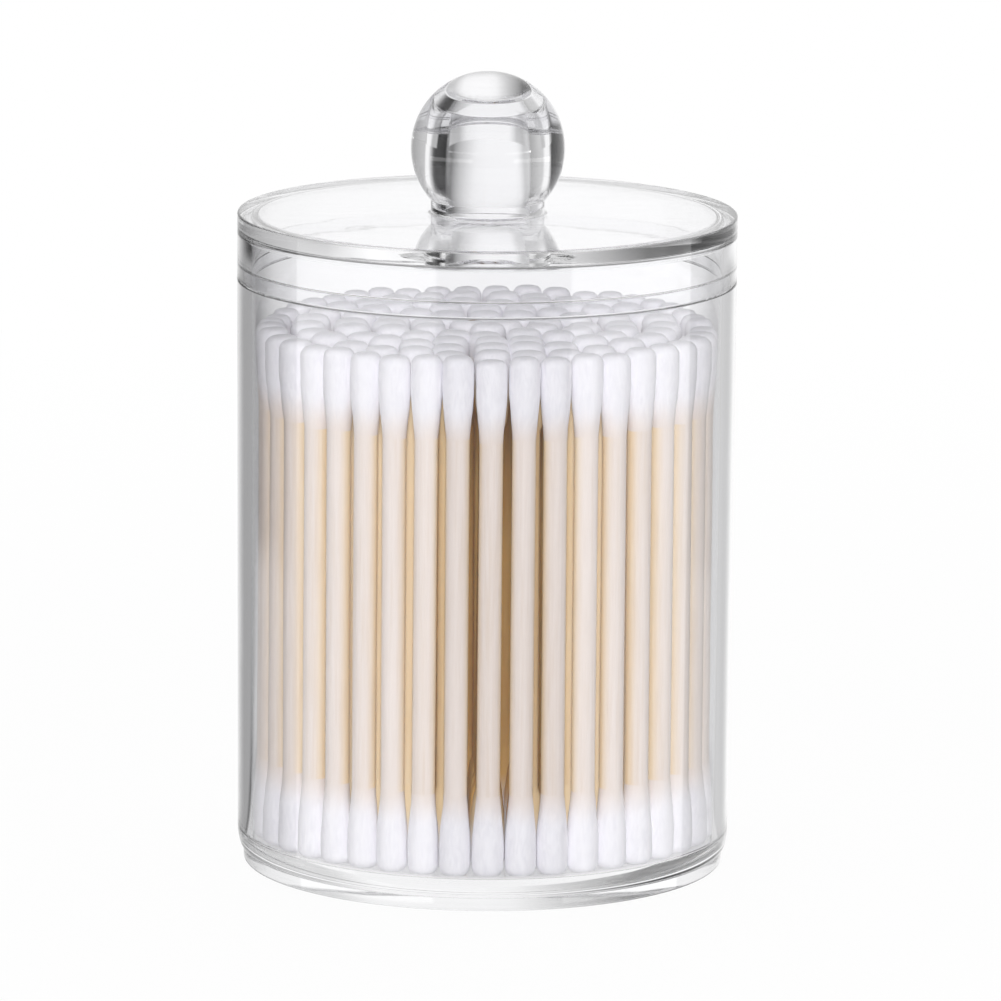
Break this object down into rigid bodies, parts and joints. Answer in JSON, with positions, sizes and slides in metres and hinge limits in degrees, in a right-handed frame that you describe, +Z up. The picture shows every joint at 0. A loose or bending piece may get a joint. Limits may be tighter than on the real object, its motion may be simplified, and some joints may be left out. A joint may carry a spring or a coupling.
{
  "type": "cotton swab jar",
  "caption": "Clear round jar with a lift-off lid and a ball knob, filled with double-ended cotton swabs standing upright.",
  "frame": {"origin": "centre of the foot that the jar stands on", "axes": "+Z up along the jar's axis, from the foot to the knob"},
  "size_m": [0.072, 0.072, 0.1154],
  "materials": {
    "clear_plastic": "polished",
    "wood": "satin",
    "cotton": "matte"
  },
  "bodies": {
    "jar": {"jar_body": "clear_plastic", "lower_cotton_ring_1": "cotton", "sticks_ring_1": "wood", "upper_cotton_ring_1": "cotton", "lower_cotton_ring_2": "cotton", "sticks_ring_2": "wood", "upper_cotton_ring_2": "cotton", "lower_cotton_ring_3": "cotton", "sticks_ring_3": "wood", "upper_cotton_ring_3": "cotton", "lower_cotton_ring_4": "cotton", "sticks_ring_4": "wood", "upper_cotton_ring_4": "cotton", "lower_cotton_ring_5": "cotton", "sticks_ring_5": "wood", "upper_cotton_ring_5": "cotton", "lower_cotton_ring_6": "cotton", "sticks_ring_6": "wood", "upper_cotton_ring_6": "cotton"},
    "lid": {"lid": "clear_plastic"}
  },
  "joints": [
    {"name": "lid_lift", "type": "slide", "parent": "jar", "child": "lid", "axis": [0, 0, 1], "range_m": [0, 0.09]}
  ]
}
